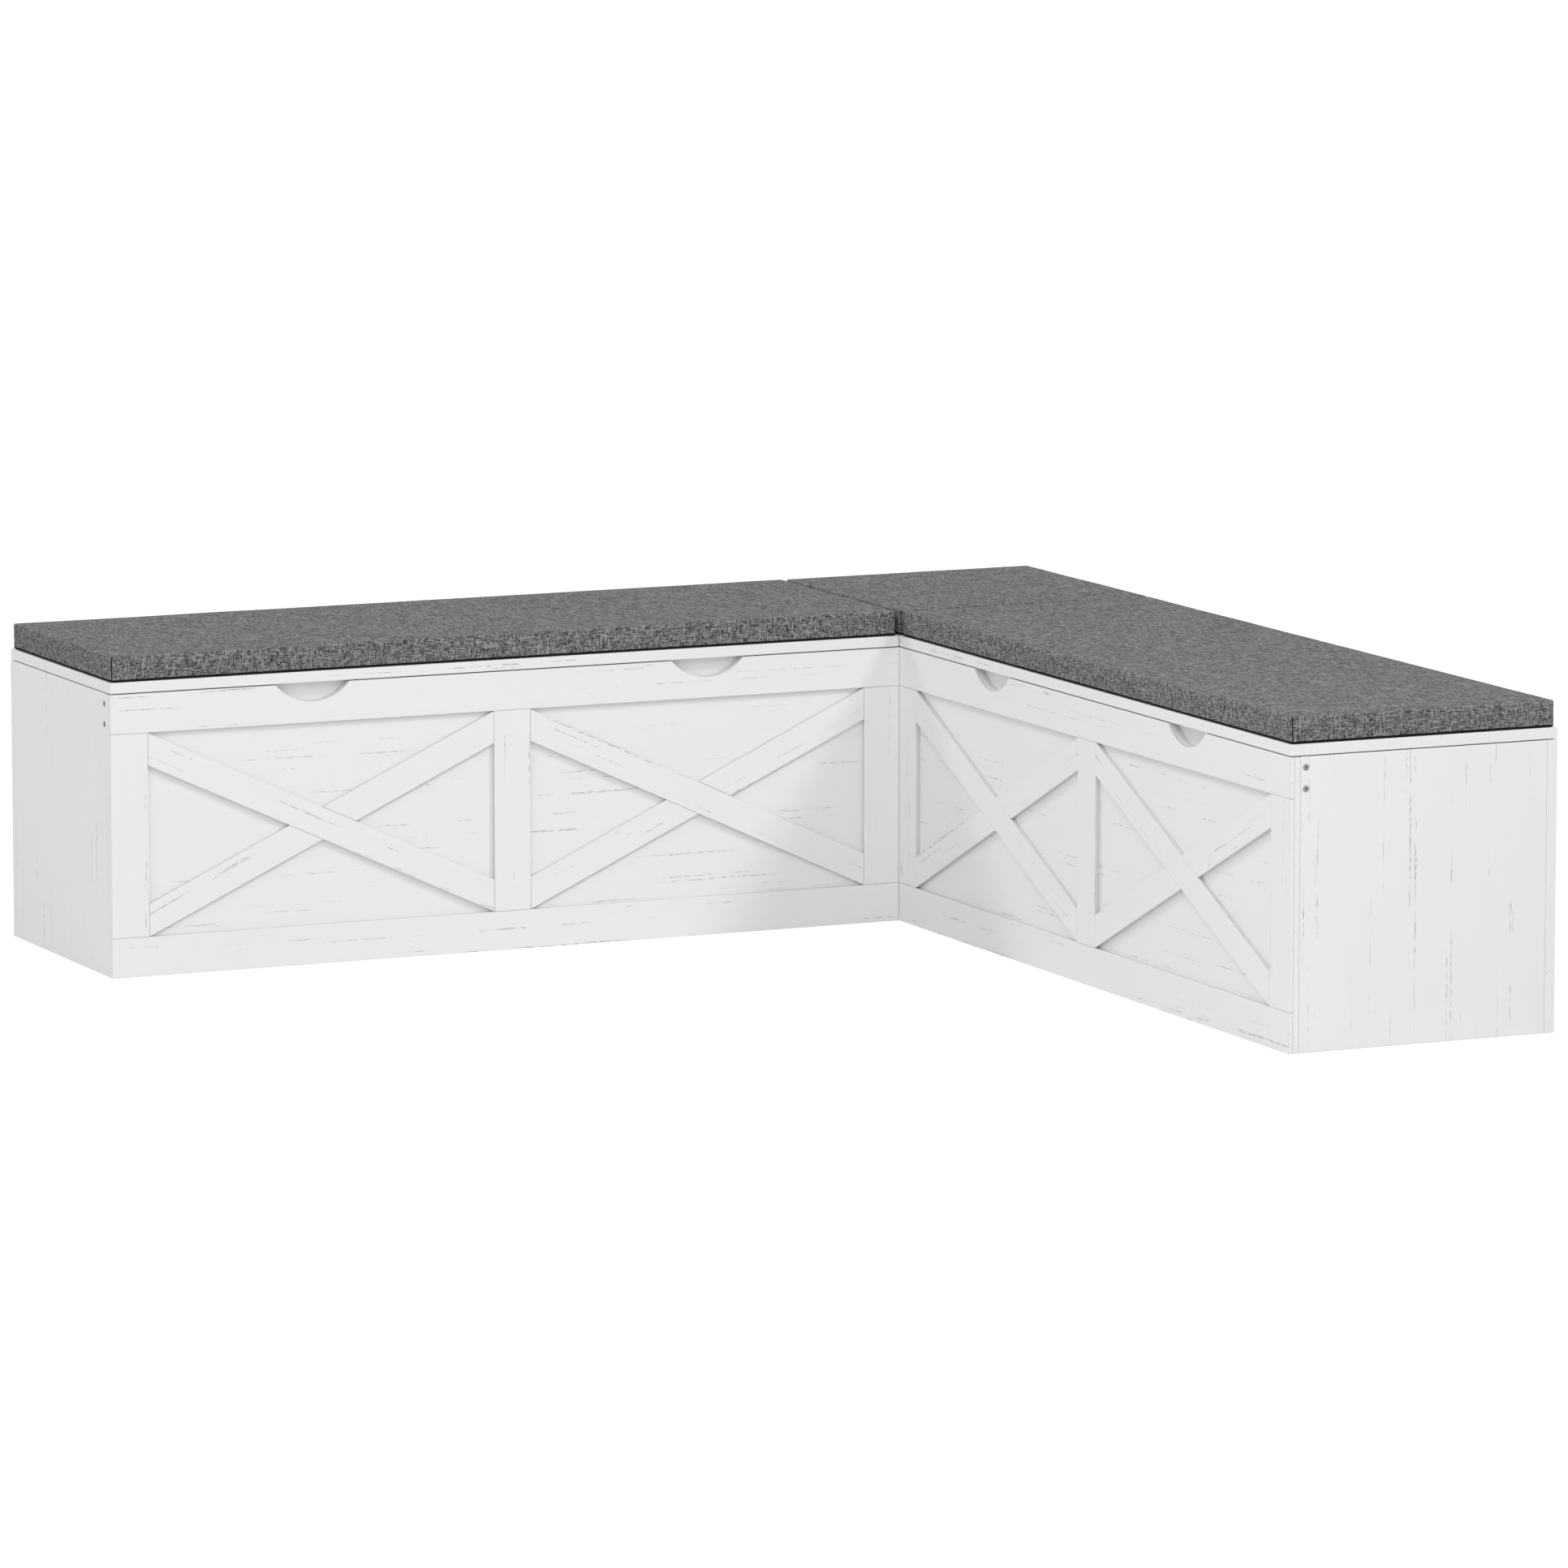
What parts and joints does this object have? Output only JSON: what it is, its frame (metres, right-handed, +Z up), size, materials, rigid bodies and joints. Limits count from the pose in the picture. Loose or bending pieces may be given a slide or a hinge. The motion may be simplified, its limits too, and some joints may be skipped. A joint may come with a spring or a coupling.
{
  "type": "corner storage bench",
  "caption": "L-shaped storage bench made of long chests and a square corner chest, with hinged cushioned lids, X-braced fronts and finger notches.",
  "frame": {"origin": "on the floor, under the middle of the overall box, which is in the open square between the two benches", "axes": "+Z up; the left bench runs along X with its front facing -Y, the right bench runs along Y with its front facing -X, and the corner box fills the +X +Y corner"},
  "size_m": [1.6062, 1.6062, 0.449],
  "materials": {
    "white_laminate": "satin white wood-grain laminate on board, with sparse thin grey grain dashes",
    "grey_linen": "heather grey linen weave over foam",
    "hinge_steel": "plated steel strip",
    "screw_steel": "zinc-plated steel"
  },
  "bodies": {
    "carcass": {"left_front_panel": "white_laminate", "left_top_rail": "white_laminate", "left_bottom_rail": "white_laminate", "left_outer_stile": "white_laminate", "left_centre_stile": "white_laminate", "left_inner_stile": "white_laminate", "left_outer_long_brace": "white_laminate", "left_outer_lower_short_brace": "white_laminate", "left_outer_upper_short_brace": "white_laminate", "left_inner_long_brace": "white_laminate", "left_inner_lower_short_brace": "white_laminate", "left_inner_upper_short_brace": "white_laminate", "left_outer_end_panel": "white_laminate", "left_inner_end_panel": "white_laminate", "left_back_panel": "white_laminate", "left_bottom_panel": "white_laminate", "left_divider": "white_laminate", "left_batten": "white_laminate", "left_lower_batten_screw": "screw_steel", "left_upper_batten_screw": "screw_steel", "left_hinge_base_leaf": "hinge_steel", "left_hinge_pin": "hinge_steel", "right_front_panel": "white_laminate", "right_top_rail": "white_laminate", "right_bottom_rail": "white_laminate", "right_outer_stile": "white_laminate", "right_centre_stile": "white_laminate", "right_inner_stile": "white_laminate", "right_outer_long_brace": "white_laminate", "right_outer_lower_short_brace": "white_laminate", "right_outer_upper_short_brace": "white_laminate", "right_inner_long_brace": "white_laminate", "right_inner_lower_short_brace": "white_laminate", "right_inner_upper_short_brace": "white_laminate", "right_outer_end_panel": "white_laminate", "right_inner_end_panel": "white_laminate", "right_back_panel": "white_laminate", "right_bottom_panel": "white_laminate", "right_divider": "white_laminate", "right_batten": "white_laminate", "right_lower_batten_screw": "screw_steel", "right_upper_batten_screw": "screw_steel", "right_hinge_base_leaf": "hinge_steel", "right_hinge_pin": "hinge_steel", "corner_front_panel": "white_laminate", "corner_left_panel": "white_laminate", "corner_right_panel": "white_laminate", "corner_back_panel": "white_laminate", "corner_bottom_panel": "white_laminate", "corner_hinge_base_leaf": "hinge_steel", "corner_hinge_pin": "hinge_steel"},
    "left_lid": {"left_lid": "white_laminate", "left_hinge_lid_leaf": "hinge_steel", "left_cushion": "grey_linen"},
    "right_lid": {"right_lid": "white_laminate", "right_hinge_lid_leaf": "hinge_steel", "right_cushion": "grey_linen"},
    "corner_lid": {"corner_lid": "white_laminate", "corner_hinge_lid_leaf": "hinge_steel", "corner_cushion": "grey_linen"}
  },
  "joints": [
    {"name": "left_lid_hinge", "type": "hinge", "parent": "carcass", "child": "left_lid", "pos_m": [-0.2031, 0.80035, 0.39575], "axis": [-1, 0, 0], "range_deg": [0, 95]},
    {"name": "right_lid_hinge", "type": "hinge", "parent": "carcass", "child": "right_lid", "pos_m": [0.80035, -0.2031, 0.39575], "axis": [0, 1, 0], "range_deg": [0, 95]},
    {"name": "corner_lid_hinge", "type": "hinge", "parent": "carcass", "child": "corner_lid", "pos_m": [0.5973, 0.80035, 0.39575], "axis": [-1, 0, 0], "range_deg": [0, 95]}
  ]
}
